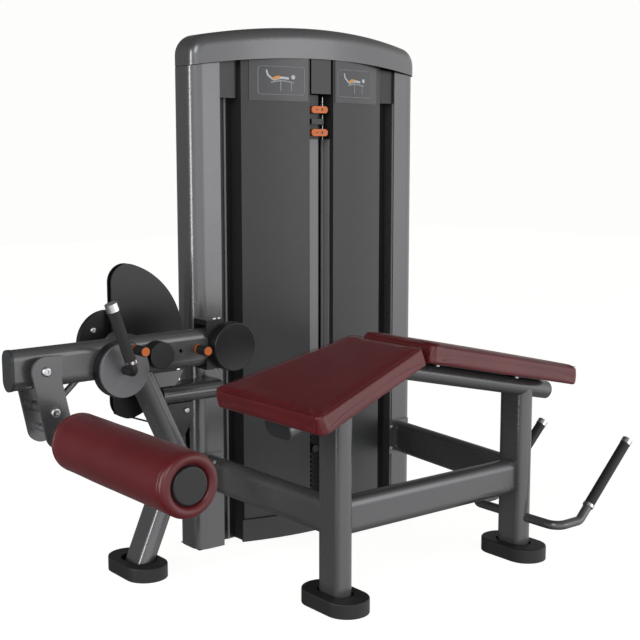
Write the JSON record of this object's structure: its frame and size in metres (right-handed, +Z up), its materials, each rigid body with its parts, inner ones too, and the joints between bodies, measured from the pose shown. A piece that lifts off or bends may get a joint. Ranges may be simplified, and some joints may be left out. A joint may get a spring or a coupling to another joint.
{
  "type": "prone leg curl machine",
  "caption": "Weight tower and angled prone bench with a swinging ankle roller arm on a cam, start lever, counterweight and hand grips.",
  "frame": {"origin": "on the floor at the centre of the whole machine's box", "axes": "+X along the bench from the ankle roller to the head end, +Y from the user's near side to the weight tower, +Z up"},
  "size_m": [1.636, 0.91, 1.487],
  "materials": {
    "frame_paint": "satin metallic dark grey powder coat",
    "arm_paint": "satin metallic dark grey powder coat",
    "black_paint": "satin black powder coat",
    "upholstery": "burgundy vinyl with a fine grain",
    "rubber": "matt black moulded rubber",
    "grip_rubber": "matt black textured rubber",
    "chrome": "bright chrome plate",
    "zinc": "bright zinc plate",
    "silver": "satin silver",
    "disc_silver": "satin light grey with a bright rim",
    "cap_plastic": "matt dark grey plastic",
    "black_plastic": "matt black plastic",
    "shroud": "satin black moulded panel",
    "placard": "semi-gloss printed panel, blank",
    "accent": "orange moulded plastic",
    "stack_steel": "black enamelled steel plate",
    "cable_black": "black nylon-coated steel cable",
    "inner_paint": "flat black powder coat"
  },
  "bodies": {
    "frame": {"bench_posts": "frame_paint", "floor_beams": "frame_paint", "mount_plates": "frame_paint", "frame_bolts": "zinc", "rubber_feet": "rubber", "pivot_post": "frame_paint", "pivot_housing": "frame_paint", "pad_rails": "frame_paint", "rail_end_caps": "cap_plastic", "pad_plates": "black_paint", "thigh_pad": "upholstery", "chest_pad": "upholstery", "head_grip_tubes": "frame_paint", "head_grips": "grip_rubber", "head_grip_caps": "chrome", "tower_cap": "frame_paint", "tower_columns": "frame_paint", "tower_inner": "inner_paint", "recess_strips": "shroud", "trim_strips": "silver", "front_panels": "shroud", "placards": "placard", "resting_plates": "stack_steel", "guide_rods": "chrome", "add_on_weights": "stack_steel", "drive_cable": "cable_black", "lift_cable": "cable_black", "return_cable": "cable_black"},
    "stack": {"lifted_plates": "stack_steel", "selector_stem": "zinc", "head_pulley_fork": "inner_paint", "head_cable": "cable_black"},
    "head_pulley": {"head_pulley": "black_plastic"},
    "entry_pulley": {"entry_pulley": "black_plastic"},
    "top_pulley": {"top_pulley": "black_plastic"},
    "stack_pin": {"stack_pin": "black_plastic"},
    "lever_lower": {"add_on_lever_lower": "accent"},
    "lever_upper": {"add_on_lever_upper": "accent"},
    "arm": {"arm_beam": "arm_paint", "arm_end_caps": "cap_plastic", "arm_bolts": "zinc", "arm_shafts": "zinc", "cam": "black_paint", "cam_hub": "black_paint", "pivot_cap": "black_plastic", "roller_brackets": "arm_paint", "index_collar": "black_paint", "weight_pin_collar": "accent", "counterweight": "black_paint", "counterweight_bracket": "arm_paint"},
    "roller": {"roller_pad": "upholstery", "roller_core": "black_plastic"},
    "selector": {"selector_disc": "disc_silver", "selector_lever": "chrome", "selector_grip": "grip_rubber", "start_pin_collar": "accent"},
    "start_pin": {"start_pin": "black_plastic", "start_pin_button": "accent"},
    "weight_pin": {"weight_pin": "black_plastic", "weight_pin_button": "accent"}
  },
  "joints": [
    {"name": "stack_lift", "type": "slide", "parent": "frame", "child": "stack", "axis": [0, 0, 1], "range_m": [0, 0.211], "deforming": ["lift_cable", "return_cable"]},
    {"name": "arm_swing", "type": "hinge", "parent": "frame", "child": "arm", "pos_m": [-0.42646, 0.185, 0.622], "axis": [0, 1, 0], "range_deg": [0, 110]},
    {"name": "head_pulley_turn", "type": "hinge", "parent": "stack", "child": "head_pulley", "pos_m": [0.22354, 0.393, 0.482], "axis": [0, 1, 0], "range_deg": [-2, 230]},
    {"name": "entry_pulley_turn", "type": "hinge", "parent": "frame", "child": "entry_pulley", "pos_m": [0.01154, 0.393, 0.3267], "axis": [0, 1, 0], "range_deg": [-2, 458]},
    {"name": "top_pulley_turn", "type": "hinge", "parent": "frame", "child": "top_pulley", "pos_m": [0.11754, 0.393, 1.413], "axis": [0, -1, 0], "range_deg": [-2, 458]},
    {"name": "roller_spin", "type": "hinge", "parent": "arm", "child": "roller", "pos_m": [-0.71046, -0.205, 0.458], "axis": [0, 1, 0], "continuous": true},
    {"name": "start_lever", "type": "hinge", "parent": "arm", "child": "selector", "pos_m": [-0.53246, 0.131, 0.596], "axis": [0, 1, 0], "range_deg": [-45, 45]},
    {"name": "start_pin_pull", "type": "slide", "parent": "selector", "child": "start_pin", "axis": [0, -1, 0], "range_m": [0, 0.01], "stiffness_N_per_m": 500, "springref_m": -0.01},
    {"name": "weight_pin_pull", "type": "slide", "parent": "arm", "child": "weight_pin", "axis": [0, -1, 0], "range_m": [0, 0.01], "stiffness_N_per_m": 500, "springref_m": -0.01},
    {"name": "stack_pin_pull", "type": "slide", "parent": "stack", "child": "stack_pin", "axis": [0, -1, 0], "range_m": [0, 0.06]},
    {"name": "lever_lower_slide", "type": "slide", "parent": "frame", "child": "lever_lower", "axis": [0, 0, 1], "range_m": [-0.05, 0]},
    {"name": "lever_upper_slide", "type": "slide", "parent": "frame", "child": "lever_upper", "axis": [0, 0, 1], "range_m": [-0.014, 0.02]}
  ],
  "couplings": [
    {"joint": "arm_swing", "follows": "stack_lift", "rad_per_m": 9.0909},
    {"joint": "head_pulley_turn", "follows": "stack_lift", "rad_per_m": 18.868},
    {"joint": "entry_pulley_turn", "follows": "stack_lift", "rad_per_m": 37.736},
    {"joint": "top_pulley_turn", "follows": "stack_lift", "rad_per_m": 37.736}
  ]
}
